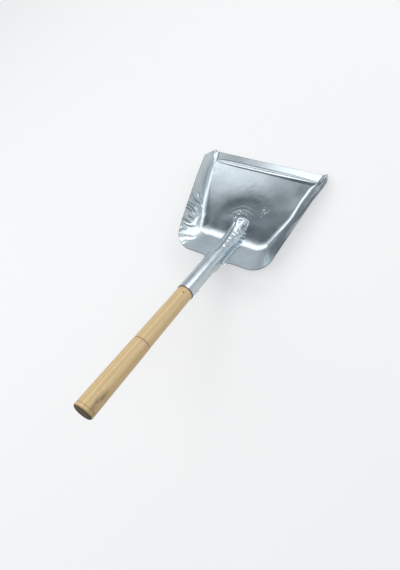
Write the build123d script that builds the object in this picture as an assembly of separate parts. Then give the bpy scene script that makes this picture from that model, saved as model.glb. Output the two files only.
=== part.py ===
from build123d import *
import os
from math import cos, radians, sin, sqrt, tan

# A dustpan pressed from one galvanised sheet, its tail rolled into a socket for a turned wooden handle.
# Millimetres. +X is to the right, +Y runs from the handle to the front lip, +Z is up.
# The origin is the middle of the pan's flat underside. Stations are measured forward from the rear bend.

# Sheet and floor of the pan
sheet = 1.0
floor_length = 172.0
floor_rear_width = 122.0
floor_front_width = 221.0
flare_length = 150.0
bend_radius = 9.0
floor_corner_radius = 18.0
flare_end_radius = 40.0

# Walls, as slopes from the floor, drawn up to a height from which the rim is trimmed
rear_slope = 32.2
side_slope_rear = 43.3
side_slope_front = 62.5
drawn_height = 48.0
drawn_corner_radius = 46.0

# Rim, as heights over the underside
tip_height = 8.0
kink_height = 24.8
kink_station = 145.4
side_rim_height = 33.0
side_rim_station = 40.0
rear_rim_height = 33.4

# Raised bead across the floor behind the lip
bead_station = 153.6
bead_width = 10.4
bead_height = 3.2
bead_end_margin = 6.0

# Rolled socket: its axis leaves the floor plane at a foot, and distances along it start there
socket_diameter = 29.0
socket_angle = 30.9
socket_foot_station = 16.2
socket_mouth = 178.4
nose_bend_start = 16.6
nose_bend_radius = 74.0
nose_bend_angle = 28.5
seam_gap = 1.0
wing_width = 9.0
wing_length = 32.0

# Turned handle
spigot_length = 70.0
spigot_clearance = 0.1
spigot_chamfer = 2.0
shaft_length = 114.0
shaft_end_diameter = 27.8
grip_length = 119.0
grip_front_diameter = 28.4
grip_end_diameter = 29.6
grip_end_round = 3.5
groove_depth = 0.7
end_groove_setback = 6.5
end_groove_depth = 0.35

# Nail through the socket's underside into the handle
nail_diameter = 2.4
nail_length = 17.0
nail_point_length = 3.0
nail_head_diameter = 6.0
nail_head_thickness = 1.1
nail_setback = 22.0
nail_turn = 38.0
nail_hole_clearance = 0.15
nail_wood_clearance = 0.02

# Places worked out from the sizes
rear_y = -floor_length / 2
front_y = floor_length / 2
socket_radius = socket_diameter / 2
bore_radius = socket_radius - sheet
outer_bend_radius = bend_radius + sheet
bead_radius = (bead_width**2 / 4 + bead_height**2) / (2 * bead_height)
run_on = floor_length / 4
wall_rim_run = rear_rim_height / sin(radians(rear_slope))
axis_plane = Plane(
    origin=(0, rear_y + socket_foot_station, 0),
    x_dir=(1, 0, 0),
    z_dir=(0, -cos(radians(socket_angle)), sin(radians(socket_angle))),
)
rear_wall_plane = Plane(
    origin=(0, rear_y, 0),
    x_dir=(1, 0, 0),
    z_dir=(0, sin(radians(rear_slope)), cos(radians(rear_slope))),
)
nail_location = (
    axis_plane.location * Pos(0, 0, socket_mouth - nail_setback) * Rot(0, 0, nail_turn) * Rot(90, 0, 0)
)


def wall_run(height, inset, slope):
    """How far out from its foot a wall's skin lies at one height, this far inside the outer skin."""
    return height / tan(radians(slope)) - inset / sin(radians(slope))


def pan_outline(height, inset):
    """The tray in plan at one height, this far inside its outer skin, and run on past the lip."""
    rear = rear_y - wall_run(height, inset, rear_slope)
    flare_y = rear_y + flare_length
    beyond = front_y + run_on + inset
    half_bend = floor_rear_width / 2 + wall_run(height, inset, side_slope_rear)
    half_front = floor_front_width / 2 + wall_run(height, inset, side_slope_front)
    half_rear = half_bend + (half_front - half_bend) * (rear - rear_y) / flare_length
    corners = [(half_rear, rear), (half_front, flare_y), (half_front, beyond)]
    mirrored = [(-x, y) for x, y in reversed(corners)]
    face = make_face(Polyline(*corners, *mirrored, close=True))
    corner_growth = (drawn_corner_radius - floor_corner_radius) / drawn_height
    corner_radius = floor_corner_radius + corner_growth * height - inset / sin(radians(side_slope_rear))
    face = fillet(face.vertices().group_by(Axis.Y)[0], corner_radius)
    flare_ends = [v for v in face.vertices() if abs(v.Y - flare_y) < sheet]
    return Pos(0, 0, height) * fillet(flare_ends, flare_end_radius - inset)


def tray_block(inset, floor_bend_radius):
    """The tray as a full block, this far inside its outer skin, with its floor edges rounded."""
    block = loft([pan_outline(inset, inset), pan_outline(drawn_height + inset, inset)], ruled=True)
    floor_edges = block.faces().sort_by(Axis.Z)[0].edges().sort_by(Axis.Y)
    return fillet(floor_edges[:-1], floor_bend_radius)


def tray():
    """Floor and walls of one thickness, before the rim is trimmed."""
    return tray_block(0, outer_bend_radius) - tray_block(sheet, bend_radius)


def side_profile_zone():
    """Everything under the rim line seen from the side, ending square at the lip."""
    kink = (rear_y + kink_station, kink_height)
    side_rim = (rear_y + side_rim_station, side_rim_height)
    rear_rim = (rear_y - rear_rim_height / tan(radians(rear_slope)), rear_rim_height)
    behind = rear_rim[0] - run_on
    under = -run_on
    lines = [
        Polyline((behind, rear_rim_height), (behind, under), (front_y, under), (front_y, tip_height), kink),
        ThreePointArc(kink, side_rim, rear_rim),
        Line(rear_rim, (behind, rear_rim_height)),
    ]
    face = Plane.YZ * make_face(lines)
    return extrude(face, amount=floor_front_width, both=True)


def wings():
    """Two tongues that carry the rear wall up along the socket's flanks, where the sheet wraps round."""
    foot_height = socket_foot_station * sin(radians(rear_slope))
    socket_height = foot_height + wall_rim_run * sin(radians(socket_angle - rear_slope))
    flank = sqrt(socket_radius**2 - socket_height**2)
    root = wall_rim_run - wing_width
    tip = wall_rim_run + wing_length
    tongues = []
    for side in (1, -1):
        outside = side * (flank + wing_width)
        corners = [(flank, -tip), (0, -tip), (0, -root), (flank + wing_width, -root)]
        lines = [
            Polyline(*[(side * x, y) for x, y in corners], (outside, -wall_rim_run)),
            Spline((outside, -wall_rim_run), (side * flank, -tip), tangents=[(-side, 0), (0, -1)]),
        ]
        tongues.append(extrude(rear_wall_plane * make_face(lines), amount=sheet))
    return tongues


def socket_solid(radius):
    """The socket as a solid bar of this radius: straight from the mouth, then bent to a round nose."""
    start = axis_plane.from_local_coords((0, 0, socket_mouth))
    bend = axis_plane.from_local_coords((0, 0, nose_bend_start))
    straight = Line(start, bend)
    heading = (cos(radians(socket_angle)), -sin(radians(socket_angle)))
    arc = Plane.YZ * JernArc((bend.Y, bend.Z), heading, nose_bend_radius, nose_bend_angle)
    bar = Location(arc @ 1) * Sphere(radius)
    for path in (arc, straight):
        section = Plane(origin=path @ 0, x_dir=(1, 0, 0), z_dir=path % 0) * Circle(radius)
        bar += sweep(section, path=path)
    return bar


def under_pan_zone():
    """The space below the floor and the rear wall, where the socket's channel stays open."""
    depth = 3 * socket_radius
    along = (-cos(radians(rear_slope)), sin(radians(rear_slope)))
    inward = (sin(radians(rear_slope)), cos(radians(rear_slope)))
    rim = (rear_y + along[0] * wall_rim_run, along[1] * wall_rim_run)
    foot = (rim[0] - inward[0] * depth, rim[1] - inward[1] * depth)
    points = [(front_y, 0), (rear_y, 0), rim, foot, (foot[0], -depth), (front_y, -depth)]
    face = make_face(Polyline(*points, close=True))
    bend = [v for v in face.vertices() if abs(v.X - rear_y) + abs(v.Y) < sheet]
    face = fillet(bend, outer_bend_radius)
    return extrude(Plane.YZ * face, amount=2 * socket_radius, both=True)


def seam_slit():
    """The straight gap left along the socket's underside where the rolled edges meet."""
    start = wall_rim_run - seam_gap
    slit = Pos(0, -socket_radius, (start + socket_mouth) / 2 + seam_gap) * Box(
        seam_gap, socket_radius, socket_mouth - start
    )
    return axis_plane.location * slit


def bead_bar(radius, length):
    """A round-ended bar across the floor whose top forms the bead."""
    half = (length - bead_width) / 2
    bar = Rot(0, 90, 0) * Cylinder(radius, 2 * half)
    for side in (1, -1):
        bar += Pos(side * half, 0, 0) * Sphere(radius)
    return Pos(0, rear_y + bead_station, sheet + bead_height - bead_radius) * bar


def add_bead(pan):
    """Presses the hollow bead up out of the floor."""
    length = floor_front_width - 2 * bead_end_margin
    outside = bead_bar(bead_radius, length)
    inside = bead_bar(bead_radius - sheet, length)
    above = Pos(0, rear_y + bead_station, bead_radius) * Box(2 * length, 4 * bead_radius, 2 * bead_radius)
    return (pan - outside) + ((outside - inside) & above)


def nail_hole(radius):
    """A bore for the nail, through one wall of the socket and into the handle."""
    reach = nail_length + nail_head_thickness
    return nail_location * Pos(0, 0, socket_radius - nail_length + reach / 2) * Cylinder(radius, reach)


def make_pan():
    """Floor, walls, rim, bead and socket as one pressed sheet."""
    body = tray() & side_profile_zone()
    for tongue in wings():
        body += tongue
    socket_outside = socket_solid(socket_radius)
    socket = socket_outside - socket_solid(bore_radius) - under_pan_zone() - seam_slit()
    pan = add_bead((body - socket_outside) + socket)
    return pan - nail_hole(nail_diameter / 2 + nail_hole_clearance)


def make_handle():
    """The handle on its lathe axis: spigot, slightly swelling shaft, cut line and grip."""
    spigot = bore_radius - spigot_clearance
    spigot_end = socket_mouth - spigot_length
    grip_start = socket_mouth + shaft_length
    grip_end = grip_start + grip_length
    shaft_end = shaft_end_diameter / 2
    grip_front = grip_front_diameter / 2
    grip_back = grip_end_diameter / 2
    end_groove = grip_end - end_groove_setback
    profile = Polyline(
        (0, spigot_end),
        (spigot - spigot_chamfer / 2, spigot_end),
        (spigot, spigot_end + spigot_chamfer),
        (spigot, socket_mouth),
        (shaft_end, grip_start - groove_depth),
        (shaft_end - groove_depth, grip_start),
        (grip_front, grip_start + 2 * groove_depth),
        (grip_back, end_groove - end_groove_depth),
        (grip_back - end_groove_depth, end_groove),
        (grip_back, end_groove + end_groove_depth),
        (grip_back, grip_end),
        (0, grip_end),
        close=True,
    )
    turned = revolve(Plane.XZ * make_face(profile), Axis.Z)
    turned = fillet(turned.faces().sort_by(Axis.Z)[-1].edges(), grip_end_round)
    return axis_plane.location * turned - nail_hole(nail_diameter / 2 + nail_wood_clearance)


def make_nail():
    """A plain round-headed nail, its head on the socket's outside."""
    radius = nail_diameter / 2
    head = nail_head_diameter / 2
    point = socket_radius - nail_length
    top = socket_radius + nail_head_thickness
    lines = [
        Polyline(
            (0, top),
            (0, point),
            (radius, point + nail_point_length),
            (radius, socket_radius),
            (head, socket_radius),
            (head, socket_radius + nail_head_thickness / 3),
        ),
        Spline((head, socket_radius + nail_head_thickness / 3), (0, top), tangents=[(0, 1), (-1, 0)]),
    ]
    return nail_location * revolve(Plane.XZ * make_face(lines), Axis.Z)


os.makedirs("parts", exist_ok=True)
nodes = {"pan": make_pan(), "handle": make_handle(), "handle_nail": make_nail()}
for name, shape in nodes.items():
    export_step(shape, f"parts/{name}.step")
    print(name, "solids", len(shape.solids()), "volume", round(shape.volume))
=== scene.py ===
from math import acos, cos, pi, radians, sin, tan

import bpy
import numpy as np
from mathutils import Matrix, Vector, noise


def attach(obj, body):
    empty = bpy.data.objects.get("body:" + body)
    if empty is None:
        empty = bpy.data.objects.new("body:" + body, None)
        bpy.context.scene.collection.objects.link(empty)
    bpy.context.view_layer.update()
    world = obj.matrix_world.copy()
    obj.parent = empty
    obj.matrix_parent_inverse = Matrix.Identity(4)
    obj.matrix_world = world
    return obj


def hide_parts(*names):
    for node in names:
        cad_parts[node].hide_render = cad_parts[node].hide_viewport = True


# A galvanised dustpan with a turned wooden handle: a sheet mesh, a turned mesh and a nail.
# Shapes are worked out in millimetres in the part's own frame and stored in metres.
# +X is to the right, +Y runs from the handle to the front lip, +Z is up.

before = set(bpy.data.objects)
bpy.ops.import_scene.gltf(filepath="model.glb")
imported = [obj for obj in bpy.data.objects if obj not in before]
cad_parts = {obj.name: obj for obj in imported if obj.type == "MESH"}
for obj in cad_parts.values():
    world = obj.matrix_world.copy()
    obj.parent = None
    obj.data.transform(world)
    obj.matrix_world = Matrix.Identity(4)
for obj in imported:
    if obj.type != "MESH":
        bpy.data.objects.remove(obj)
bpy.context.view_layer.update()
MM = 0.001

# Pan: sheet and floor
sheet = 1.0
skin = sheet / 2
floor_length = 172.0
floor_rear_width = 122.0
floor_front_width = 221.0
flare_length = 150.0
floor_corner_radius = 18.0
flare_end_radius = 40.0

# The bends along the two sides, drawn by hand: how far in on the floor the bend starts, how far up the wall
# it ends, how far in its corner lies and how softly it runs into the wall, each at the rear, at the front
# and at the lip, and how far the floor is stretched out towards the rear
right_side = {
    "floor_reach": (6.5, 14.0, 4.0),
    "wall_reach": (6.0, 13.0, 8.0),
    "corner": (-2.5, 6.0, 0.0),
    "softness": (0.0, 0.0, 0.0),
    "stretch": 12.5,
}
left_side = {
    "floor_reach": (3.8, 4.6, 4.0),
    "wall_reach": (8.0, 9.0, 8.0),
    "corner": (2.8, 4.4, 2.8),
    "softness": (0.0, 0.5, 0.5),
    "stretch": 11.0,
}
rear_bend = {"floor_reach": 18.0, "wall_reach": 8.0, "corner": 3.0, "softness": 0.0}
bend_change = (0.33, 0.72)
lip_bend_length = 36.0
corner_turn = 0.35
stretch_ends = (5.0, 140.0)

# Pan: walls and rim
rear_slope = radians(32.2)
side_slope_rear = radians(43.3)
side_slope_front = radians(62.5)
drawn_height = 48.0
drawn_corner_radius = 46.0
tip_height = 8.0
kink_height = 24.8
kink_station = 145.4
side_rim_height = 33.0
side_rim_station = 40.0
rear_rim_height = 33.4

# Bead across the floor behind the lip: its sizes, and the place and the taper of its two ends
bead_station = 153.6
bead_width = 10.4
bead_height = 3.2
bead_foot_radius = 0.8
bead_reach = 9.0
bead_left = (-108.5, 5.0, 0.5)
bead_right = (106.0, 2.2, 0.8)
bead_least = 0.001

# Socket, rolled from the sheet's tail
socket_radius = 14.5 - skin
socket_angle = radians(30.9)
socket_foot_station = 16.2
socket_mouth = 178.4
nose_bend_start = 16.6
nose_bend_radius = 74.0
nose_bend_angle = radians(28.5)
seam_gap = 1.0
rib_foot_radius = 3.0
nose_reach = 15.6
nose_bluntness = 1.7
wing_width = 6.0
wing_turn = 6.0
wrap_length = 36.0
wing_notch = 6.5
wing_notch_ends = (0.0, 3.5, 5.0, 26.0)
notch_radius = 4.0

# Turned handle
spigot_length = 70.0
spigot_radius = 13.4
spigot_chamfer = 2.0
shaft_length = 114.0
shaft_end_radius = 13.9
grip_length = 119.0
grip_front_radius = 14.2
grip_end_radius = 14.8
grip_end_round = 3.5
grip_step = 0.1
groove_depth = 0.7
groove_width = 0.8
end_groove_setback = 6.5
end_groove_depth = 0.35
end_groove_width = 0.45

# Pleats drawn into the left wall, spread like a fan around one place on the floor: each one's bearing from
# straight left in degrees, where it starts and ends, and how deep it is, with ridges below zero
fan_place = np.array([-35.0, -70.0])
left_pleats = [
    (-35, 68, 88, -0.78), (-28.5, 56, 84, 1.23), (-24, 60, 76, 0.65),
    (-20, 52, 76, -0.78), (-16, 56, 78, 0.65), (-12, 48, 80, 1.23),
    (-8.5, 58, 74, -0.52), (-5.5, 52, 78, 0.91), (0, 50, 68, -0.59),
    (5, 46, 62, 0.91), (10, 50, 76, -0.59), (15.5, 48, 76, 1.1),
    (19, 54, 74, 0.52), (22.5, 42, 68, 1.1), (27, 52, 76, 0.52),
    (31, 46, 76, -0.78), (36, 56, 76, 0.59), (41.5, 50, 76, 1.1),
    (47, 52, 76, -0.65), (53.5, 46, 68, 0.91), (57.5, 58, 80, 0.72),
]
pleat_width = 1.45
pleat_lead = 2.0
pleat_waver = 0.02
pleat_waver_length = 3.1
pleat_ring = 0.5
pleat_ring_place = (45.0, 2.5)
pleat_ring_bearings = (-0.5, -0.25, 0.2, 0.45)
corner_bulge = 1.8
bulge_place = (-92.0, 30.0)
bulge_heights = (5.0, 33.0)
bulge_sides = (-50.0, -70.0)

# Marks hammered along the rib: how high each one stands, how wide it is, and its line as stations along the
# socket's axis and turns from the crest in radians, with grooves below zero
rib_strokes = [
    (0.6, 1.5, [(-18, 0.59), (-11, 0.38), (-4, 0.31), (5, 0.28), (12, 0.55), (9, 0.9)]),
    (-0.4, 2.0, [(-19, 0.04), (-22, 0.33)]),
    (-0.6, 2.6, [(-11, 0.9), (-5, 0.8)]),
    (-0.4, 1.3, [(15, 0.4), (14, 0.85)]),
    (0.5, 1.5, [(20, 0.22), (19, 0.86)]),
    (0.6, 3.0, [(32, 0.38), (25, 0.82)]),
    (-0.3, 1.6, [(37, 0.3), (33, 0.8)]),
    (0.45, 1.8, [(42, 0.42), (40, 0.9)]),
    (0.55, 1.6, [(16, 1.02), (25, 0.93), (37, 1.16), (49, 1.1), (62, 0.92), (80, 0.85)]),
    (-0.9, 1.4, [(-18, -0.45), (-6, -0.3), (5, -0.23), (34, 0), (46, 0.07), (65, 0.05), (80, -0.05)]),
    (0.4, 1.2, [(-3, 0), (26, 0.1), (44, 0.2)]),
    (0.6, 1.3, [(-14, -0.56), (11, -0.56), (26, -0.58), (41, -0.3)]),
    (-0.7, 1.4, [(-12, -0.8), (26, -0.86), (46, -0.6), (70, -0.5)]),
    (0.3, 2.2, [(52, 0.35), (56, 0.5)]),
    (-0.3, 2.0, [(60, 0.3), (63, 0.55)]),
]
stroke_overrun = 3.0
stroke_ease = 8.0
rib_tolerance = (2.5, 1.0)
nose_step = 0.9
nose_step_stations = (-27.0, -15.0, 0.0, 40.0)

# The rib's dented right flank and crinkled right foot
flank_mottle = 0.5
flank_mottle_size = 3.6
flank_turns = (0.45, 0.75, 1.5, 1.9)
flank_stations = (-26.0, -14.0, 24.0, 38.0)
crinkle_depth = 0.6
crinkle_pitch = 5.0
crinkle_waver = 2.0
crinkle_waver_length = 3.0
crinkle_size = 5.0
crinkle_place = (socket_radius + 2.0, 3.5)
crinkle_heights = (-6.0, 5.0)
crinkle_stations = (-12.0, -4.0, 24.0, 36.0)

# Floor: a slight crown, a ringed and rippled dish around the rib's nose, and a lift along the right
floor_heights = (6.0, 2.5)
floor_crown = 0.6
crown_middle = -2.0
crown_half = (98.0, 70.0)
crown_edge = (1.0, 0.25)
nose_dish_depth = 0.72
nose_dish_edge = (58.0, 26.0)
nose_dish_start = (-10.0, 12.0)
nose_ring_depth = 0.36
nose_ring_place = (40.0, 16.0)
nose_ripple = 0.03
nose_ripple_pitch = 8.0
nose_ripple_ring = (16.0, 20.0, 34.0, 50.0)
floor_mottle = 0.035
floor_mottle_size = 6.5
right_lift = 1.2
right_lift_sides = (0.5, 1.0)
right_lift_heights = (14.0, 3.0)
right_lift_stations = (0.0, 0.35, 0.5, 0.85)

# Small dents in the floor: place, width and depth
floor_dents = [
    (30.3, -10.1, 1.3, 0.264), (38.9, -11.8, 1.5, 0.336), (30.0, -15.7, 1.3, 0.24),
    (35.7, -15.0, 1.6, 0.336), (30.9, -23.8, 1.2, 0.216), (39.4, -7.8, 1.3, 0.264),
    (34.0, -12.2, 1.2, -0.216), (25.7, -20.5, 1.2, 0.18), (-11.4, -30.2, 1.6, 0.3),
    (-9.1, -27.7, 1.3, -0.216), (-16.4, -36.8, 1.5, 0.264), (-13.1, -33.7, 1.2, -0.18),
    (-5.3, -25.3, 1.2, 0.18),
]

# Places where the floor is scratched: place, width and strength
scratched_places = [(34, -13, 7, 1), (28, -19, 5, 1), (-11, -31, 5.5, 1), (-16, -37, 4.5, 1)]
scratch_heights = (6.0, 3.0)

# Walls and lip: the right wall's bow and flare, the flared tips, the wavy rim and the twisted lip
right_bow = 0.065
right_bow_lean = 0.75
right_bow_sides = (60.0, 75.0)
right_bow_start = (-24.0, 6.0)
right_flare = 0.1
right_flare_start = (-76.0, -30.0)
tip_flare = 0.32
right_tip_flare = 0.12
tip_flare_length = 22.0
rim_flutter = 0.15
rim_flutter_size = 23.0
rim_flutter_heights = (4.0, 30.0)
lip_rise = 1.2
lip_rise_sides = (20.0, -90.0)
lip_dip = 1.6
lip_dip_sides = (-20.0, 90.0)
lip_dip_start = (-8.0, 3.0)
lip_heights = (8.5, 4.5)

# Old dust and painted shade along the bead's feet and the rib's foot, in pleats and in dents
bead_dust_and_shade_width = 0.9
bead_dust_and_shade_height = 4.0
foot_dust_and_shade = 0.6
foot_dust_and_shade_place = (socket_radius + rib_foot_radius / 2, 1.3)
foot_dust_and_shade_heights = (-4.0, -9.0)
foot_dust_and_shade_stations = (-30.0, -20.0, 60.0, 75.0)
groove_dust_and_shade_tolerance = (3.0, 1.5)
pleat_dust_and_shade = 0.4
flank_dust_and_shade = 0.7

# Marks in the wood: the knot, dark lines by half width, end grain and soil on the grip's lower side, the last
# three partly painted shade
knot_place = (4.5, 12.7, 188.5)
knot_radii = (0.9, 2.4)
# Painted shadow where the wood leaves the socket; dirt with painted shade along both grooves
mouth_shadow_line = 1.4
grip_line = 1.0
end_line = 0.5
# The grip's end darkened to near black: dark end grain and painted shade
end_grain_and_shade_setbacks = (0.6, 3.2)
# Soil near the grip's end on its +X side only: partly soil, partly painted shade of that side
soil_and_shade_sides = (5.0, 12.5)
soil_and_shade_setbacks = (12.0, 62.0)

# Colours
white = (1, 1, 1, 1)
zinc_dull = (0.5, 0.558, 0.59, 1)
zinc_bright = (0.575, 0.632, 0.662, 1)
spangle_grey = (0.95, 0.955, 0.96, 1)
speck_grey = (0.72, 0.75, 0.77, 1)
scuff_grey = (0.86, 0.88, 0.89, 1)
# Old dust with painted shade in the sheet's creases, grooves, pleats and dents
dust_and_shade_grey = (0.08, 0.092, 0.1, 1)
nick_grey = (0.12, 0.135, 0.145, 1)
# The cut edge: partly bare steel, partly painted shade along the rim
cut_edge_and_shade_grey = (0.1, 0.115, 0.12, 1)
wood_pale = (0.74, 0.56, 0.305, 1)
wood_deep = (0.67, 0.475, 0.24, 1)
streak_tan = (0.84, 0.8, 0.74, 1)
pore_brown = (0.6, 0.48, 0.36, 1)
knot_brown = (0.2, 0.1, 0.04, 1)
# Painted shadow at the socket's mouth and dirt with painted shade in the grooves
line_dirt_and_shade_brown = (0.26, 0.15, 0.065, 1)
# End grain darkened to near black by painted shade
end_grain_and_shade_brown = (0.035, 0.025, 0.018, 1)
# Soil with painted shade on one side of the grip
soil_and_shade_brown = (0.075, 0.05, 0.03, 1)
steel_dull = (0.34, 0.34, 0.345, 1)
steel_bright = (0.55, 0.555, 0.56, 1)
paper = (0.9, 0.9, 0.9, 1)
horizon_light = (0.68, 0.715, 0.75, 1)
overhead_dim = (0.053, 0.083, 0.109, 1)

# How finely the shapes are divided
wall_steps = 48
bend_steps = 18
strip_steps = 48
rear_steps = 64
tail_steps = 70
tail_crowding = 1.5
outline_steps = 60
rear_corner_share = 3.5 / 5
section_steps = 800
axis_steps = 900
rim_rounds = 12
floor_row_steps = (1.2, 0.45, 1.6, 0.5)
fine_rows_station = 80.0
crease_angle = radians(50)
handle_segments = 96
handle_step = 2.5
handle_round_steps = 13
handle_end_rings = 8
groove_step = 0.2
groove_rings = 12
end_groove_step = 0.15
end_groove_rings = 8

# Studio floor, in metres
floor_size = 20.0
floor_level = -0.0005
floor_white_share = 0.45

# Camera: its focal length in pixels of a picture this high, and its place
picture_height = 570
focal_pixels = 366.87
sensor_width = 36
camera_eye = (245.05, -291.53, 618.56)
camera_aim = (-21.6, -187.12, 0.0)
camera_roll = radians(45.28)

# Softboxes aimed at the pan: bearing from +X, height angle and lean in degrees, then distance, width and
# height in metres, and brightness
softboxes = {
    "front_softbox": (101, 41, 14, 1.6, 2.2, 0.6, 2.0),
    "right_softbox": (38, 42, 0, 1.6, 0.9, 0.8, 1.6),
    "left_softbox": (214, 50, 0, 1.6, 1.3, 1.3, 1.55),
    "top_softbox": (280, 68, 0, 2.5, 2.2, 2.2, 1.6),
}

# Places worked out from the sizes. The strip is the rib with a narrow wing along each foot
rear_y = -floor_length / 2
front_y = floor_length / 2
bead_y = rear_y + bead_station
axis_foot = np.array([rear_y + socket_foot_station, 0.0])
axis_back = np.array([-cos(socket_angle), sin(socket_angle)])
axis_up = np.array([sin(socket_angle), cos(socket_angle)])
arc_centre = axis_foot + nose_bend_start * axis_back + nose_bend_radius * axis_up
nose_angle = socket_angle - nose_bend_angle
nose_centre = arc_centre - nose_bend_radius * np.array([sin(nose_angle), cos(nose_angle)])
nose_station = nose_bend_start - nose_bend_radius * nose_bend_angle
wall_foot = np.array([rear_y - skin / tan(rear_slope) + skin / sin(rear_slope), skin])
strip_half = socket_radius + rib_foot_radius + wing_width
strip_rear_y = wall_foot[0] + rear_bend["floor_reach"]
grip_start = socket_mouth + shaft_length
grip_end = grip_start + grip_length
end_groove = grip_end - end_groove_setback


def smooth(low, high, value):
    """0 below low, 1 above high, and an even S between them."""
    share = np.clip((value - low) / (high - low), 0, 1)
    return share * share * (3 - 2 * share)


def hump(centre, width, value):
    """A smooth bump of height 1."""
    return np.exp(-(((value - centre) / width) ** 2))


def band(start, full, ease, end, value):
    """1 from full to ease, falling to 0 at start and end."""
    return smooth(start, full, value) * smooth(end, ease, value)


def unit(vector):
    return vector / np.linalg.norm(vector)


def wall_run(height, slope):
    """How far out from its foot the middle of a wall's sheet lies at one height."""
    return height / tan(slope) - skin / sin(slope)


def socket_height(station):
    """How far the socket's axis lies above the middle of the rear wall's sheet."""
    point = axis_foot + station * axis_back
    normal = np.array([sin(rear_slope), cos(rear_slope)])
    return (point - wall_foot) @ normal / cos(socket_angle - rear_slope)


def ridge_turns(radius, foot_radius, axis_height):
    """How far a ridge's crest turns down, how long its straight flank is and how far out its foot ends."""
    turn = acos(min(max((foot_radius - axis_height) / (radius + foot_radius), 0), 1))
    return turn, max(axis_height - foot_radius, 0), (radius + foot_radius) * sin(turn)


def ridge_length(radius, foot_radius, axis_height, reach):
    """The sheet's length from a ridge's crest down to the floor and on to this reach."""
    turn, flank, foot_end = ridge_turns(radius, foot_radius, axis_height)
    return (radius + foot_radius) * turn + flank + reach - foot_end


def ridge_section(radius, foot_radius, axis_height, length, turned=0.0, wrap=0.0):
    """Half a ridge's section: lengths from the crest, with places out from the middle and up from the axis.
    Turned is how far its foot hangs straight down, and wrap is how far that is rolled into a tube."""
    turn, flank, _ = ridge_turns(radius, foot_radius, axis_height)
    breaks = np.cumsum([0, radius * turn, flank, foot_radius * turn])
    along = np.linspace(0, length, section_steps)
    spread = np.interp(along, breaks, [0, turn, turn, 0])
    rolled = along / radius
    hanging = np.minimum(rolled, pi / 2)
    heading = (1 - turned) * spread + turned * ((1 - wrap) * hanging + wrap * rolled)
    steps = along[1] * np.exp(-0.5j * (heading[1:] + heading[:-1]))
    path = np.concatenate([[0], np.cumsum(steps)])
    return along, path.real, radius + path.imag


def open_ridge(radius, foot_radius, axis_height, reach):
    """Half the section of a ridge that rises from a flat sheet, out to this reach."""
    length = ridge_length(radius, foot_radius, axis_height, reach)
    return ridge_section(radius, foot_radius, axis_height, length)


def on_section(section, share):
    """Places out and up at these shares of a section's length."""
    along, out, up = section
    length = share * along[-1]
    return np.interp(length, along, out), np.interp(length, along, up)


def rounded_corner(before, corner, after, radius):
    """Points along an arc that rounds off one corner of an outline."""
    back = unit(before - corner)
    on = unit(after - corner)
    half_angle = acos(back @ on) / 2
    centre = corner + unit(back + on) * radius / sin(half_angle)
    first = corner + back * radius / tan(half_angle) - centre
    last = corner + on * radius / tan(half_angle) - centre
    turn = pi - 2 * half_angle
    share = np.linspace(0, 1, outline_steps)[:, None]
    return centre + (np.sin((1 - share) * turn) * first + np.sin(share * turn) * last) / sin(turn)


def half_outline(height):
    """The right half of the sheet's middle in plan at one height, from the lip to the socket's strip.
    Its five stretches, three straights with two arcs between them, have equally many points."""
    rear = rear_y - wall_run(height, rear_slope)
    half_bend = floor_rear_width / 2 + wall_run(height, side_slope_rear)
    half_front = floor_front_width / 2 + wall_run(height, side_slope_front)
    half_rear = half_bend + (half_front - half_bend) * (rear - rear_y) / flare_length
    growth = (drawn_corner_radius - floor_corner_radius) / drawn_height
    corner_radius = floor_corner_radius + growth * height - skin / sin(side_slope_rear)
    flare_y = rear_y + flare_length
    corners = [(half_front, front_y), (half_front, flare_y), (half_rear, rear), (strip_half, rear)]
    lip, flare, corner, strip = np.array(corners)
    flare_arc = rounded_corner(lip, flare, corner, flare_end_radius - skin)
    corner_arc = rounded_corner(flare, corner, strip, corner_radius)
    stops = [lip[None], flare_arc, corner_arc, strip[None]]
    stretches = []
    for here, there in zip(stops[:-1], stops[1:]):
        stretches.append(here[:-1])
        stretches.append(np.linspace(here[-1], there[0], outline_steps)[:-1])
    return np.concatenate(stretches + [stops[-1]])


def rim_height(y):
    """The height of the side rim's middle at a place along the pan."""
    kink_y = rear_y + kink_station
    rear_rim_y = rear_y - rear_rim_height / tan(rear_slope)
    places = [kink_y, rear_y + side_rim_station, rear_rim_y]
    bow = np.polyfit(places, [kink_height, side_rim_height, rear_rim_height], 2)
    slope = (tip_height - kink_height) / (front_y - kink_y)
    height = np.where(y > kink_y, kink_height + slope * (y - kink_y), np.polyval(bow, y))
    return np.where(y < rear_rim_y, rear_rim_height, height)


def between(at, stations, points):
    """Points at places between the stations of a list of points."""
    return np.column_stack([np.interp(at, stations, column) for column in points.T])


def pick(points, index):
    """Points at fractional indices of a list of points."""
    return between(index, np.arange(len(points)), points)


def wall_ways(low, high):
    """How far each wall runs out in plan, which way, and how squarely it faces the rear, from 0 to 1."""
    run = high - low
    length = np.linalg.norm(run, axis=1)
    out = run / length[:, None]
    return length, out, smooth(corner_turn, 1, -out[:, 1])


def stretched(low, high, stretch):
    """The two outlines of a side, with the floor stretched out towards the rear and the rim kept in place."""
    _, out, rearward = wall_ways(low, high)
    amount = stretch * smooth(*stretch_ends, front_y - low[:, 1]) * (1 - rearward)
    back = drawn_height / side_rim_height - 1
    return low + amount[:, None] * out, high - back * amount[:, None] * out


def wall_feet(low, high, side):
    """The wall's direction in plan, its slope, and the sizes of its bend in the order of rear_bend."""
    length, out, rearward = wall_ways(low, high)
    slope = np.arctan2(drawn_height - skin, length)
    forward = smooth(front_y - lip_bend_length, front_y, low[:, 1])
    share = smooth(*bend_change, (low[:, 1] - rear_y) / flare_length)
    bend = []
    for name, rear_wall_size in rear_bend.items():
        rear, front, lip = side[name]
        size = rear + (front - rear) * share
        size = size + (lip - size) * forward
        bend.append(size + (rear_wall_size - size) * rearward)
    return out, slope, bend


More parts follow.
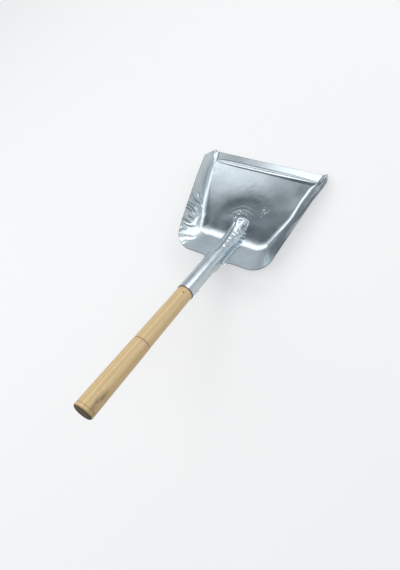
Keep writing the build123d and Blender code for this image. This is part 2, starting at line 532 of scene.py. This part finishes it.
def wall_grid(low, high, side, rise=0.0):
    """Bend and wall above each place on the floor's edge, as rows of points up to the rim.
    Places in the wall's section are complex numbers: out from the wall's foot, and up."""
    out, slope, bend = wall_feet(low, high, side)
    floor_reach, wall_reach, corner, softness = (size[:, None] for size in bend)
    run = (rim_height(low[:, 1]) - skin) / np.sin(slope)
    for _ in range(rim_rounds):
        run = (rim_height(low[:, 1] + out[:, 1] * run * np.cos(slope)) - skin) / np.sin(slope)
    run = run + rise
    up_wall = np.exp(1j * slope)[:, None]
    bend_end = wall_reach * up_wall
    facet = bend_end + corner
    end_way = (1 - softness) * facet + softness * np.abs(facet) * up_wall
    floor_lead = -(floor_reach + 2 * corner) / 3
    wall_lead = bend_end - end_way * 2 / 3
    t = np.linspace(0, 1, bend_steps + 1)
    leads = floor_lead * (1 - t) + wall_lead * t
    curve = -floor_reach * (1 - t) ** 3 + 3 * t * (1 - t) * leads + bend_end * t**3
    along = wall_reach + (run[:, None] - wall_reach) * np.linspace(0, 1, wall_steps + 1)[1:]
    section = np.concatenate([curve, along * up_wall], axis=1)
    plan = low[:, None, :] + out[:, None, :] * section.real[:, :, None]
    return np.concatenate([plan, skin + section.imag[:, :, None]], axis=2)


def socket_frames(base):
    """For points (y, z) under the socket, its axis point and its upward way in the section through each."""
    station = np.linspace(nose_station, socket_mouth, axis_steps)
    bent = station < nose_bend_start
    angle = np.where(bent, socket_angle - (nose_bend_start - station) / nose_bend_radius, socket_angle)
    straight = axis_foot + station[:, None] * axis_back
    arc = arc_centre - nose_bend_radius * np.column_stack([np.sin(angle), np.cos(angle)])
    axis = np.where(bent[:, None], arc, straight)
    tilt = (angle - nose_angle) * socket_angle / nose_bend_angle
    back = np.column_stack([-np.cos(tilt), np.sin(tilt)])
    found = []
    for point in base:
        ahead = -np.sum((point - axis) * back, axis=1)
        found.append(np.interp(0, ahead, station))
    tilt = np.interp(found, station, tilt)
    return between(found, station, axis), np.column_stack([np.sin(tilt), np.cos(tilt)])


def press_rib_row(xs, base, place, up_way):
    """One row of the strip, lifted over the socket's rib."""
    section = open_ridge(socket_radius, rib_foot_radius, (place - base) @ up_way, strip_half)
    out, up = on_section(section, np.abs(xs) / strip_half)
    return np.column_stack([np.sign(xs) * out, place + up[:, None] * up_way])


def press_dome(grid):
    """Lifts the floor over the rib's blunt nose, in place."""
    section = open_ridge(socket_radius, rib_foot_radius, nose_centre[1] - skin, strip_half)
    beyond = np.maximum(grid[..., 1] - nose_centre[0], 0)
    ahead = strip_half * (beyond / nose_reach) ** nose_bluntness
    away = np.hypot(grid[..., 0], ahead)
    near = (beyond > 0) & (away < strip_half)
    out, up = on_section(section, away[near] / strip_half)
    stretch = out / np.maximum(away[near], 1e-6)
    forward = (ahead[near] * stretch / strip_half) ** (1 / nose_bluntness)
    grid[near, 0] *= stretch
    grid[near, 1] = nose_centre[0] + nose_reach * forward
    grid[near, 2] = nose_centre[1] + up


def bead_taper(x):
    """The bead's share of its full section across the pan: blunt at its left end and slim at its right."""
    halves = [(1 - np.clip(x / end, 0, 1) ** fall) ** root for end, fall, root in (bead_left, bead_right)]
    return np.maximum(np.where(x < 0, *halves), bead_least)


def press_bead(grid):
    """Lifts the floor over the bead behind the lip, in place."""
    radius = (bead_width**2 / 4 + bead_height**2) / (2 * bead_height) - skin
    axis_height = bead_height - radius
    section = open_ridge(radius, bead_foot_radius, axis_height, bead_reach)
    taper = bead_taper(grid[..., 0])
    away = (grid[..., 1] - bead_y) / taper
    near = np.abs(away) < bead_reach
    out, up = on_section(section, np.abs(away[near]) / bead_reach)
    grid[near, 1] = bead_y + np.sign(away[near]) * out * taper[near]
    grid[near, 2] += (up + axis_height) * taper[near]


def floor_rows():
    """Places along the floor from the lip to the rear bend, closer at the bead and around the rib."""
    stops = [front_y, bead_y + bead_reach, bead_y - bead_reach, rear_y + fine_rows_station, strip_rear_y]
    rows = []
    for start, end, step in zip(stops[:-1], stops[1:], floor_row_steps):
        rows.append(np.linspace(start, end, round((start - end) / step), endpoint=False))
    return np.concatenate(rows + [[strip_rear_y]])


def half_sheet(side, rows):
    """The floor beside the strip, the side wall and the rear wall of one side, as grids for the right."""
    low, high = stretched(half_outline(skin), half_outline(drawn_height), side["stretch"])
    out, _, bend = wall_feet(low, high, side)
    foot = low - out * bend[0][:, None]
    lengths = np.concatenate([[0], np.cumsum(np.linalg.norm(np.diff(foot, axis=0), axis=1))])
    steps = np.arange(len(low))
    corner = lengths[round(rear_corner_share * (len(low) - 1))]
    row_share = (front_y - rows) / (front_y - strip_rear_y)
    side_index = np.interp(row_share * corner, lengths, steps)
    rear_share = np.linspace(0, 1, rear_steps + 1)
    rear_index = np.interp(lengths[-1] - rear_share * (lengths[-1] - corner), lengths, steps)

    # The floor, filled in between its four edges, of which the front one is straight
    side_foot = pick(foot, side_index)
    rear_foot = pick(foot, rear_index)
    u = rear_share[None, :, None]
    v = row_share[:, None, None]
    strip_edge = np.column_stack([np.full(len(rows), strip_half), rows])[:, None, :]
    rear_line = (1 - u) * rear_foot[0] + u * rear_foot[-1]
    plan = (1 - u) * strip_edge + u * side_foot[:, None, :] + v * (rear_foot - rear_line)
    floor = np.concatenate([plan, np.full(plan.shape[:2] + (1,), skin)], axis=2)

    # The walls, with the rear wall's rim rounded up into the strip
    side_wall = wall_grid(pick(low, side_index), pick(high, side_index), side)
    rear_low = pick(low, rear_index)
    notch = np.clip(notch_radius - (rear_low[:, 0] - strip_half), 0, notch_radius)
    rise = notch_radius - np.sqrt(notch_radius**2 - notch**2)
    rear_wall = wall_grid(rear_low, pick(high, rear_index), side, rise).transpose(1, 0, 2)
    return floor, side_wall, rear_wall


def strip_rows(xs, base):
    """Rows of the strip lifted over the socket's rib, one above each point (y, z) of the sheet."""
    return np.stack([press_rib_row(xs, *row) for row in zip(base, *socket_frames(base))])


def floor_strip(xs, rows):
    """The strip along the middle of the floor, flat ahead of the rib."""
    strip = np.stack(np.broadcast_arrays(xs, rows[:, None], skin), axis=-1)
    behind = rows <= nose_centre[0]
    strip[behind] = strip_rows(xs, strip[behind, 0, 1:])
    press_dome(strip)
    return strip


def socket_tail(xs, first):
    """The tail behind this station, wrapped from the open rib into a tube."""
    open_length = ridge_length(socket_radius, rib_foot_radius, socket_height(first), strip_half)
    closed_length = pi * socket_radius - seam_gap / 2
    tail = []
    for station in first + (socket_mouth - first) * np.linspace(0, 1, tail_steps + 1)[1:] ** tail_crowding:
        turned = smooth(first, first + wing_turn, station)
        wrap = smooth(first + wing_turn / 2, first + wrap_length, station)
        length = open_length + (closed_length - open_length) * wrap
        length -= wing_notch * band(*wing_notch_ends, station - first)
        height = socket_height(station)
        section = ridge_section(socket_radius, rib_foot_radius, height, length, turned, wrap)
        out, up = on_section(section, np.abs(xs) / strip_half)
        line = axis_foot + station * axis_back + up[:, None] * axis_up
        tail.append(np.column_stack([np.sign(xs) * out, line]))
    return np.array(tail)


def side_by_side(left, middle, right):
    """One grid from parts that share their borders. The left part is given as for the right."""
    mirrored = left * np.array([-1, 1, 1])
    return np.concatenate([mirrored[:, :0:-1], middle, right[:, 1:]], axis=1)


def sheet_grids():
    """The middle of the sheet as three grids: floor with side walls, rear wall, and the socket's tail."""
    rows = floor_rows()
    xs = np.linspace(-strip_half, strip_half, 2 * strip_steps + 1)
    right_floor, right_wall, right_rear = half_sheet(right_side, rows)
    left_floor, left_wall, left_rear = half_sheet(left_side, rows)
    floor = side_by_side(left_floor, floor_strip(xs, rows), right_floor)
    floor = side_by_side(left_wall, floor, right_wall)
    press_bead(floor)
    rear_base = right_rear[:, 0, 1:]
    rear = side_by_side(left_rear, strip_rows(xs, rear_base), right_rear)
    tail = socket_tail(xs, (rear_base[-1] - axis_foot) @ axis_back)
    return floor, rear, tail


def numbered(grid, start=0):
    """Numbers for a grid's points, from start on."""
    return start + np.arange(grid[..., 0].size).reshape(grid.shape[:2])


def stitch(floor, rear, tail):
    """Points and four-cornered faces of the sheet's grids, joined along their borders."""
    inside = rear[1:, 1:-1]
    floor_index = numbered(floor)
    inside_index = numbered(inside, floor_index.size)
    tail_index = numbered(tail, floor_index.size + inside_index.size)
    wall = bend_steps + wall_steps
    last = floor_index[-1]
    rear_index = np.column_stack([last[:wall][::-1], inside_index, last[-wall:]])
    rear_index = np.concatenate([last[None, wall:-wall], rear_index])
    tail_index = np.concatenate([rear_index[-1:, rear_steps:-rear_steps], tail_index])
    faces = []
    for index in (floor_index, rear_index, tail_index):
        quads = [index[:-1, :-1], index[1:, :-1], index[1:, 1:], index[:-1, 1:]]
        faces.append(np.stack(quads, axis=-1).reshape(-1, 4))
    points = np.concatenate([grid.reshape(-1, 3) for grid in (floor, inside, tail)])
    return points, np.concatenate(faces)


def point_normals(points, faces):
    """Unit normals at the points of a sheet, from the faces around each."""
    a, b, c, d = (points[faces[:, k]] for k in range(4))
    normal = np.cross(c - a, d - b)
    total = np.zeros_like(points)
    for k in range(4):
        np.add.at(total, faces[:, k], normal)
    return total / np.linalg.norm(total, axis=1)[:, None]


def border_edges(faces):
    """The edges of a sheet that only one face has, in the direction of that face."""
    edges = np.concatenate([faces[:, [k, (k + 1) % 4]] for k in range(4)])
    keys = np.sort(edges, axis=1)
    _, where, counts = np.unique(keys, axis=0, return_index=True, return_counts=True)
    return edges[where[counts == 1]]


def rib_places(points):
    """Each point's station along the socket's axis, its height over the axis and its turn from the crest."""
    flat = points[:, 1:]
    station = (flat - axis_foot) @ axis_back
    height = (flat - axis_foot) @ axis_up
    reach = arc_centre - flat
    angle = np.arctan2(reach[:, 0], reach[:, 1])
    bent = station < nose_bend_start
    station = np.where(bent, nose_bend_start - (socket_angle - angle) * nose_bend_radius, station)
    height = np.where(bent, nose_bend_radius - np.linalg.norm(reach, axis=1), height)
    return station, height, np.arctan2(points[:, 0], height)


def on_rib(x, height, tolerance):
    """1 on the socket's round and 0 away from it."""
    return smooth(*tolerance, np.abs(np.hypot(x, height) - socket_radius)) * (np.abs(x) < strip_half)


def rough_noise(points, size):
    """Even noise from -1 to 1 with lumps of this size."""
    return np.array([noise.noise(Vector(p / size)) for p in points])


def fan_bearing(points):
    """How far each point lies from the fan's centre, and its slightly wavering bearing from straight left."""
    ahead = fan_place - points[:, :2]
    reach = np.hypot(ahead[:, 0], ahead[:, 1])
    return reach, np.arctan2(ahead[:, 1], ahead[:, 0]) + pleat_waver * np.sin(reach / pleat_waver_length)


def pleat_depth(points, pleats):
    """How deep these pleats lie at each point of the left wall."""
    reach, bearing = fan_bearing(points)
    depth = np.zeros(len(points))
    for angle, start, end, full_depth in pleats:
        aside = (bearing - radians(angle)) * reach
        ease = (end - start) / 3
        fade = band(start - pleat_lead, start + ease, end - ease, end, reach)
        depth += full_depth * hump(0, pleat_width, aside) * fade
    return depth * (points[:, 0] < 0)


def wall_pleats(points):
    """Pleats in the left wall and its rear corner, which also bulges out a little."""
    x, y, z = points.T
    reach, bearing = fan_bearing(points)
    push = -corner_bulge * hump(*bulge_place, y) * smooth(*bulge_heights, z) * smooth(*bulge_sides, x)
    push += pleat_ring * hump(*pleat_ring_place, reach) * band(*pleat_ring_bearings, bearing)
    return push - pleat_depth(points, left_pleats)


def line_distance(places, line):
    """How far places on a flat surface, as complex numbers, lie from a line of straight stretches."""
    nearest = np.full(len(places), np.inf)
    for start, end in zip(line[:-1], line[1:]):
        share = np.clip(((places - start) / (end - start)).real, 0, 1)
        nearest = np.minimum(nearest, np.abs(places - start - share * (end - start)))
    return nearest


def rib_relief(station, turn, strokes):
    """How far these strokes lift each place on the rib."""
    places = station + 1j * turn * socket_radius
    relief = np.zeros(len(station))
    for rise, width, line in strokes:
        line = np.array([place + 1j * side * socket_radius for place, side in line])
        start = line.real.min() - stroke_overrun * width
        end = line.real.max() + stroke_overrun * width
        ease = min((end - start) / 4, stroke_ease)
        fade = band(start, start + ease, end - ease, end, station)
        relief += rise * fade * hump(0, width, line_distance(places, line))
    return relief


def flank_dents(points, station, turn):
    """Dents from -1 to 1 over the right flank of the rib's nose."""
    return rough_noise(points, flank_mottle_size) * band(*flank_turns, turn) * band(*flank_stations, station)


def rib_marks(points):
    """Hammered ridges and grooves along the rib, a dented right flank and a crinkled right foot."""
    x = points[:, 0]
    station, height, turn = rib_places(points)
    marks = rib_relief(station, turn, rib_strokes) + nose_step * band(*nose_step_stations, station)
    marks += flank_mottle * flank_dents(points, station, turn)
    waver = crinkle_waver * np.sin(station / crinkle_waver_length)
    crinkle = np.sin(2 * pi * station / crinkle_pitch + waver) + rough_noise(points, crinkle_size)
    near_foot = hump(*crinkle_place, x) * hump(*crinkle_heights, height) * band(*crinkle_stations, station)
    return marks * on_rib(x, height, rib_tolerance) + crinkle_depth * crinkle * near_foot


def spots(points, places):
    """The sum of round bumps: place, width and height of each."""
    total = np.zeros(len(points))
    for x, y, width, height in places:
        total += height * hump(0, width, np.hypot(points[:, 0] - x, points[:, 1] - y))
    return total


def floor_unevenness(points):
    """A slight crown in the floor, a ringed dish around the rib's nose, dents, and a lift along the right."""
    x, y, z = points.T
    out = np.hypot(x / crown_half[0], (y - crown_middle) / crown_half[1])
    ahead = y - nose_centre[0]
    ring = np.hypot(x, ahead)
    dish = -nose_dish_depth * smooth(*nose_dish_edge, ring) - nose_ring_depth * hump(*nose_ring_place, ring)
    ripple = nose_ripple * np.sin(2 * pi * ring / nose_ripple_pitch) * band(*nose_ripple_ring, ring)
    push = floor_crown + (dish + ripple) * smooth(*nose_dish_start, ahead)
    push += floor_mottle * rough_noise(points, floor_mottle_size) - spots(points, floor_dents)
    station = (y - rear_y) / flare_length
    half_width = (floor_rear_width + (floor_front_width - floor_rear_width) * np.clip(station, 0, 1)) / 2
    lift = right_lift * smooth(*right_lift_sides, x / half_width) * smooth(*right_lift_heights, z)
    lift *= band(*right_lift_stations, station)
    return push * smooth(*floor_heights, z) * smooth(*crown_edge, out) + lift


def lip_twist(points):
    """The lip rises a little at its left end and dips towards the floor at its right end."""
    x, y, z = points.T
    ahead = np.clip((y - bead_y) / (front_y - bead_y), 0, None)
    rise = lip_rise * smooth(*lip_rise_sides, x) * ahead
    dip = lip_dip * smooth(*lip_dip_sides, x) * smooth(*lip_dip_start, y - bead_y) * (1 - ahead)
    return (rise + dip) * smooth(*lip_heights, z)


def wall_flare(points):
    """The walls flare out at their front tips, and the right wall is also bowed and flares further back."""
    x, y, z = points.T
    rim = rim_height(y)
    share = np.clip((z - skin) / rim, 0, 1)
    on_right = smooth(*right_bow_sides, x) * smooth(*right_bow_start, y - rear_y)
    bow = right_bow * rim * (share**2 - right_bow_lean * share) * on_right
    tip = smooth(-tip_flare_length, 0, y - front_y)
    forward = smooth(*right_flare_start, y - front_y)
    spread = np.where(x < 0, tip_flare * tip, right_tip_flare * tip + right_flare * forward)
    return bow - spread * (z - skin)


def wear(points):
    """How far each point of the sheet is pushed out of its true place, along its normal."""
    flutter = rim_flutter * rough_noise(points, rim_flutter_size) * smooth(*rim_flutter_heights, points[:, 2])
    push = wall_pleats(points) + wall_flare(points) + rib_marks(points)
    return push + floor_unevenness(points) + lip_twist(points) + flutter


def grime(points):
    """How much old dust and painted shade darken each point, from 0 to 1: along the bead's and rib's feet and
    in the grooves, pleats and dents.
    """
    x, y, z = points.T
    on_floor = (np.abs(x) < floor_front_width / 2) * (z < bead_dust_and_shade_height)
    feet = hump(bead_width / 2, bead_dust_and_shade_width, np.abs(y - bead_y) / bead_taper(x)) * on_floor
    station, height, turn = rib_places(points)
    grooves = -rib_relief(station, turn, [stroke for stroke in rib_strokes if stroke[0] < 0])
    flank = flank_dust_and_shade * np.maximum(-flank_dents(points, station, turn), 0)
    marks = (grooves + flank) * on_rib(x, height, groove_dust_and_shade_tolerance)
    pleats = pleat_dust_and_shade * pleat_depth(points, [pleat for pleat in left_pleats if pleat[3] > 0])
    rib_foot = foot_dust_and_shade * hump(*foot_dust_and_shade_place, np.hypot(x, np.minimum(height, 0)))
    rib_foot *= smooth(*foot_dust_and_shade_heights, height) * band(*foot_dust_and_shade_stations, station)
    return np.clip(feet + marks + rib_foot + pleats, 0, 1)


def scratches(points):
    """Where small scratches and specks gather on the floor, from 0 to 1."""
    return np.clip(spots(points, scratched_places), 0, 1) * smooth(*scratch_heights, points[:, 2])


def thick_sheet(points, faces):
    """Two skins half a thickness from the middle, closed along the cut edge."""
    normals = point_normals(points, faces)
    count = len(points)
    both = np.concatenate([points + normals * skin, points - normals * skin])
    border = border_edges(faces)
    rim = np.column_stack([border[:, 1], border[:, 0], border[:, 0] + count, border[:, 1] + count])
    return both, np.concatenate([faces, faces[:, ::-1] + count, rim]).tolist()


def add_object(name, data):
    thing = bpy.data.objects.new(name, data)
    bpy.context.scene.collection.objects.link(thing)
    return thing


def mesh_piece(name, points, faces, material, marks=None):
    """A smooth-shaded mesh object, with its cut edges kept crisp and any marks stored for its material."""
    mesh = bpy.data.meshes.new(name)
    mesh.from_pydata((points * MM).tolist(), [], faces)
    mesh.validate()
    mesh.shade_smooth()
    mesh.set_sharp_from_angle(angle=crease_angle)
    for mark, values in (marks or {}).items():
        mesh.attributes.new(mark, "FLOAT", "POINT").data.foreach_set("value", values)
    mesh.materials.append(material)
    return add_object(name, mesh)


class Shading:
    """The nodes of a material or of the world. Each input takes a node's output or a constant."""

    def __init__(self, owner):
        owner.use_nodes = True
        self.nodes = owner.node_tree.nodes
        self.links = owner.node_tree.links

    def connect(self, socket, value):
        if isinstance(value, bpy.types.NodeSocket):
            self.links.new(value, socket)
        else:
            socket.default_value = value

    def fill(self, node, **inputs):
        for name, value in inputs.items():
            self.connect(node.inputs[name.replace("_", " ")], value)

    def add(self, kind, *values, settings=None, **inputs):
        """A new node with its settings made and its inputs filled, in order or by name."""
        node = self.nodes.new("ShaderNode" + kind)
        for name, value in (settings or {}).items():
            setattr(node, name, value)
        for socket, value in zip(node.inputs, values):
            self.connect(socket, value)
        self.fill(node, **inputs)
        return node

    def math(self, operation, *values):
        return self.add("Math", *values, settings={"operation": operation}).outputs[0]

    def place(self, scale, shift=(0, 0, 0)):
        """The piece's own coordinates, scaled and shifted."""
        here = self.add("TexCoord").outputs["Object"]
        return self.add("Mapping", Vector=here, Location=shift, Scale=scale).outputs["Vector"]

    def noise(self, scale, detail, shift=(0, 0, 0)):
        """Soft noise whose lumps can be longer one way than another."""
        return self.add("TexNoise", Vector=self.place(scale, shift), Scale=1.0, Detail=detail).outputs["Fac"]

    def mark(self, name):
        """A mark stored at the mesh's points."""
        return self.add("Attribute", settings={"attribute_name": name}).outputs["Fac"]

    def ramp(self, value, low, high, low_colour, high_colour):
        """Two colours, one below low and one above high."""
        node = self.add("ValToRGB", value)
        ends = ((low, low_colour), (high, high_colour))
        for element, (position, colour) in zip(node.color_ramp.elements, ends):
            element.position = position
            element.color = colour
        return node.outputs["Color"]

    def spread(self, value, low, high, to_low, to_high):
        """A smooth change from one number at low to another at high."""
        smoothly = {"interpolation_type": "SMOOTHSTEP"}
        return self.add("MapRange", value, low, high, to_low, to_high, settings=smoothly).outputs["Result"]

    def mix(self, share, first, second, blend="MIX"):
        """One colour over another."""
        node = self.add("Mix", share, settings={"data_type": "RGBA", "blend_type": blend})
        self.connect(node.inputs[6], first)
        self.connect(node.inputs[7], second)
        return node.outputs[2]

    def bump(self, height, strength, distance):
        return self.add("Bump", Height=height, Strength=strength, Distance=distance).outputs["Normal"]


def new_material(name):
    material = bpy.data.materials.new(name)
    tree = Shading(material)
    return material, tree, tree.nodes["Principled BSDF"]


def galvanised():
    """Bright zinc: cloudy mottle, faint spangle, specks and scuffs, dust with painted shade in creases,
    nicks, and a bare cut edge darkened partly by painted shade.
    """
    material, tree, shader = new_material("galvanised_sheet")
    cloud = tree.noise((34, 34, 34), 4.0)
    colour = tree.ramp(cloud, 0.3, 0.7, zinc_dull, zinc_bright)
    spangle = tree.add("TexVoronoi", Vector=tree.place((120, 120, 120)), Scale=1.0).outputs["Color"]
    colour = tree.mix(0.7, colour, tree.ramp(spangle, 0.1, 0.9, spangle_grey, white), "MULTIPLY")
    speckle = tree.noise((420, 420, 420), 4.0)
    colour = tree.mix(0.7, colour, tree.ramp(speckle, 0.28, 0.42, speck_grey, white), "MULTIPLY")
    scuff = tree.noise((26, 480, 60), 6.0)
    colour = tree.mix(0.6, colour, tree.ramp(scuff, 0.62, 0.72, white, scuff_grey), "MULTIPLY")
    # Dust with painted shade darkens the bead's feet, the rib's foot and grooves, the pleats and the dents
    colour = tree.mix(tree.spread(tree.mark("grime"), 0.1, 1, 0, 0.85), colour, dust_and_shade_grey)
    nick = tree.spread(tree.noise((300, 380, 380), 2.0), 0.53, 0.63, 0, 0.9)
    nicks = tree.math("MULTIPLY", tree.mark("scratches"), nick)
    colour = tree.mix(nicks, colour, nick_grey)
    # The cut edge is darkened, partly as bare steel and partly as painted shade along the rim
    colour = tree.mix(tree.spread(tree.mark("cut_edge"), 0.2, 1, 0, 0.85), colour, cut_edge_and_shade_grey)
    roughness = tree.spread(cloud, 0.25, 0.75, 0.225, 0.26)
    relief = tree.bump(tree.math("MULTIPLY_ADD", nicks, 14.0, speckle), 0.1, 0.0002)
    tree.fill(shader, Metallic=1.0, Base_Color=colour, Roughness=roughness, Normal=relief)
    return material


def wood():
    """Pale turned wood: figure, streaks and pores, a knot, dark lines, end grain and soil on the grip, the
    last three darkened partly by painted shade.
    """
    material, tree, shader = new_material("handle_wood")
    rings = {"wave_type": "RINGS", "rings_direction": "Z"}
    figure = tree.add("TexWave", settings=rings, Scale=1.0, Distortion=3.0, Detail=3.0, Detail_Scale=1.5)
    tree.fill(figure, Vector=tree.place((70, 70, 2.5), (1.6, 0.4, 0)))
    colour = tree.ramp(figure.outputs["Fac"], 0.1, 0.95, wood_pale, wood_deep)
    streak = tree.noise((900, 900, 16), 5.0)
    colour = tree.mix(0.8, colour, tree.ramp(streak, 0.3, 0.68, streak_tan, white), "MULTIPLY")
    pore = tree.noise((1500, 1500, 130), 2.0)
    colour = tree.mix(0.75, colour, tree.ramp(pore, 0.27, 0.35, pore_brown, white), "MULTIPLY")
    here = tree.place((1 / MM, 1 / MM, 1 / MM))
    split = tree.add("SeparateXYZ", here).outputs
    away = tree.add("VectorMath", here, knot_place, settings={"operation": "DISTANCE"}).outputs["Value"]
    colour = tree.mix(tree.spread(away, *knot_radii, 0.85, 0), colour, knot_brown)
    # Dark lines: a painted shadow at the socket's mouth, and dirt with painted shade in the two grooves
    for station, width in ((socket_mouth, mouth_shadow_line), (grip_start, grip_line), (end_groove, end_line)):
        off = tree.math("ABSOLUTE", tree.math("SUBTRACT", split["Z"], station))
        colour = tree.mix(tree.spread(off, 0.2 * width, 1.4 * width, 0.75, 0), colour, line_dirt_and_shade_brown)
    # The end face and its rounded edge: dark end grain, darkened further to near black by painted shade
    setback = tree.math("SUBTRACT", grip_end, split["Z"])
    end = tree.spread(setback, *end_grain_and_shade_setbacks, 0.9, 0)
    colour = tree.mix(end, colour, end_grain_and_shade_brown)
    # Soil smeared near the grip's end on its +X side only, partly soil and partly painted shade of that side
    soil_and_shade = tree.spread(setback, *soil_and_shade_setbacks, 1, 0)
    soil_and_shade = tree.math("MULTIPLY", soil_and_shade, tree.spread(split["X"], *soil_and_shade_sides, 0, 1))
    smear = tree.spread(tree.noise((90, 90, 45), 6.0, (3.1, 0, 0)), 0.42, 0.68, 0.1, 0.85)
    colour = tree.mix(tree.math("MULTIPLY", soil_and_shade, smear), colour, soil_and_shade_brown)
    roughness = tree.math("MAXIMUM", tree.spread(streak, 0.3, 0.7, 0.52, 0.4), end)
    tree.fill(shader, Base_Color=colour, Roughness=roughness, Normal=tree.bump(pore, 0.15, 0.0003))
    return material


def nail_steel():
    material, tree, shader = new_material("nail_steel")
    cloud = tree.noise((700, 700, 700), 4.0)
    colour = tree.ramp(cloud, 0.3, 0.7, steel_dull, steel_bright)
    roughness = tree.spread(cloud, 0.3, 0.7, 0.45, 0.3)
    relief = tree.bump(cloud, 0.1, 0.0002)
    tree.fill(shader, Metallic=1.0, Base_Color=colour, Roughness=roughness, Normal=relief)
    return material


def turned_profile():
    """The handle's radius at closely spaced stations along its lathe axis."""
    start = socket_mouth - spigot_length
    quarter = np.linspace(0, pi / 2, handle_round_steps)
    rounding = grip_end_round * (1 - np.cos(quarter))
    end = grip_end - grip_end_round + grip_end_round * np.sin(quarter)
    cuts = [grip_start + k * groove_step for k in range(-groove_rings, groove_rings + 1)]
    cuts += [end_groove + k * end_groove_step for k in range(-end_groove_rings, end_groove_rings + 1)]
    stations = np.unique(np.concatenate([np.arange(start, end[0], handle_step), cuts, end]))
    corners = [start, start + spigot_chamfer, socket_mouth, grip_start, grip_start + grip_step, grip_end]
    radii = [spigot_radius - spigot_chamfer / 2, spigot_radius, spigot_radius]
    radii += [shaft_end_radius, grip_front_radius, grip_end_radius]
    radius = np.interp(stations, corners, radii)
    radius -= groove_depth * hump(grip_start, groove_width, stations)
    radius -= end_groove_depth * hump(end_groove, end_groove_width, stations)
    radius -= np.interp(stations, end, rounding, left=0)
    return stations, radius


def make_handle():
    """The handle turned on its own axis, then set into the socket."""
    stations, radii = turned_profile()
    inner = np.linspace(1, 0, handle_end_rings)[1:-1]
    stations = np.concatenate([stations, np.full(len(inner), stations[-1])])
    radii = np.concatenate([radii, radii[-1] * inner])
    turns = np.linspace(0, 2 * pi, handle_segments, endpoint=False)
    places = [radii[:, None] * np.cos(turns), radii[:, None] * np.sin(turns), stations[:, None]]
    rings = np.stack(np.broadcast_arrays(*places), axis=-1)
    index = numbered(rings)
    after = np.roll(index, -1, axis=1)
    faces = np.stack([index[:-1], after[:-1], after[1:], index[1:]], axis=-1).reshape(-1, 4).tolist()
    faces.append(index[0, ::-1].tolist())
    faces.append(index[-1].tolist())
    handle = mesh_piece("handle_turned", rings.reshape(-1, 3), faces, wood())
    columns = [(1, 0, 0), (0, *axis_up), (0, *axis_back), Vector((0, *axis_foot)) * MM]
    for k, column in enumerate(columns):
        for row in range(3):
            handle.matrix_world[row][k] = column[row]
    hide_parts("handle")
    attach(handle, "root")


def make_pan():
    """The sheet, worn and thickened, with each mark's values and its share on the underside."""
    points, faces = stitch(*sheet_grids())
    points = points + point_normals(points, faces) * wear(points)[:, None]
    cut = np.zeros(len(points))
    cut[np.unique(border_edges(faces))] = 1
    marks = {"grime": (grime(points), 0), "cut_edge": (cut, 1), "scratches": (scratches(points), 0)}
    marks = {name: np.concatenate([upper, upper * share]) for name, (upper, share) in marks.items()}
    pan = mesh_piece("pan_sheet", *thick_sheet(points, faces), galvanised(), marks)
    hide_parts("pan")
    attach(pan, "root")


def make_nail():
    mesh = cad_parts["handle_nail"].data
    mesh.materials.clear()
    mesh.materials.append(nail_steel())


def make_camera():
    eye = Vector(camera_eye) * MM
    aim = Vector(camera_aim) * MM
    camera = add_object("camera", bpy.data.cameras.new("camera"))
    camera.data.sensor_width = sensor_width
    camera.data.lens = focal_pixels / picture_height * sensor_width
    look = (aim - eye).to_track_quat("-Z", "Y").to_matrix().to_4x4()
    camera.matrix_world = Matrix.Translation(eye) @ look @ Matrix.Rotation(-camera_roll, 4, "Z")
    bpy.context.scene.camera = camera


def stage_material():
    """Pale floor paper, shown partly as plain white where it is seen directly, mirrored or through glass."""
    material, tree, shader = new_material("floor")
    tree.fill(shader, Base_Color=paper, Roughness=0.9)
    path = tree.add("LightPath").outputs
    seen = tree.math("MAXIMUM", path["Is Camera Ray"], path["Is Glossy Ray"])
    seen = tree.math("MAXIMUM", seen, path["Is Transmission Ray"])
    share = tree.math("MULTIPLY", seen, floor_white_share)
    blend = tree.add("MixShader", share, shader.outputs[0], tree.add("Emission").outputs[0])
    tree.fill(tree.nodes["Material Output"], Surface=blend.outputs[0])
    return material


def make_stage():
    """A wide floor a hair below the pan."""
    mesh = bpy.data.meshes.new("floor")
    corners = [(-1, -1), (1, -1), (1, 1), (-1, 1)]
    mesh.from_pydata([(floor_size * x, floor_size * y, floor_level) for x, y in corners], [], [(0, 1, 2, 3)])
    mesh.materials.append(stage_material())
    floor = add_object("floor", mesh)


def make_world():
    """Soft room light: pale around the horizon, dim overhead and behind the handle."""
    world = bpy.data.worlds.new("studio")
    bpy.context.scene.world = world
    tree = Shading(world)
    split = tree.add("SeparateXYZ", tree.add("TexCoord").outputs["Generated"]).outputs
    colour = tree.ramp(split["Z"], 0.45, 0.85, horizon_light, overhead_dim)
    behind = tree.spread(split["Y"], -0.4, 0.6, 0.4, 1)
    left = tree.spread(split["X"], -0.95, -0.4, 0.3, 1)
    tree.fill(tree.nodes["Background"], Color=colour, Strength=tree.math("MULTIPLY", behind, left))


def make_lamp(name, azimuth, elevation, roll, distance, width, height, brightness):
    lamp = bpy.data.lights.new(name, "AREA")
    lamp.shape = "RECTANGLE"
    lamp.size = width
    lamp.size_y = height
    lamp.energy = brightness * pi * width * height
    level = cos(radians(elevation))
    bearing = Vector((level * cos(radians(azimuth)), level * sin(radians(azimuth)), sin(radians(elevation))))
    aim = bearing.to_track_quat("Z", "Y").to_matrix().to_4x4()
    lean = Matrix.Rotation(radians(roll), 4, "Z")
    add_object(name, lamp).matrix_world = Matrix.Translation(bearing * distance) @ aim @ lean


make_pan()
make_handle()
make_nail()
make_camera()
make_stage()
make_world()
for name, values in softboxes.items():
    make_lamp(name, *values)
bpy.context.scene.view_settings.view_transform = "Standard"
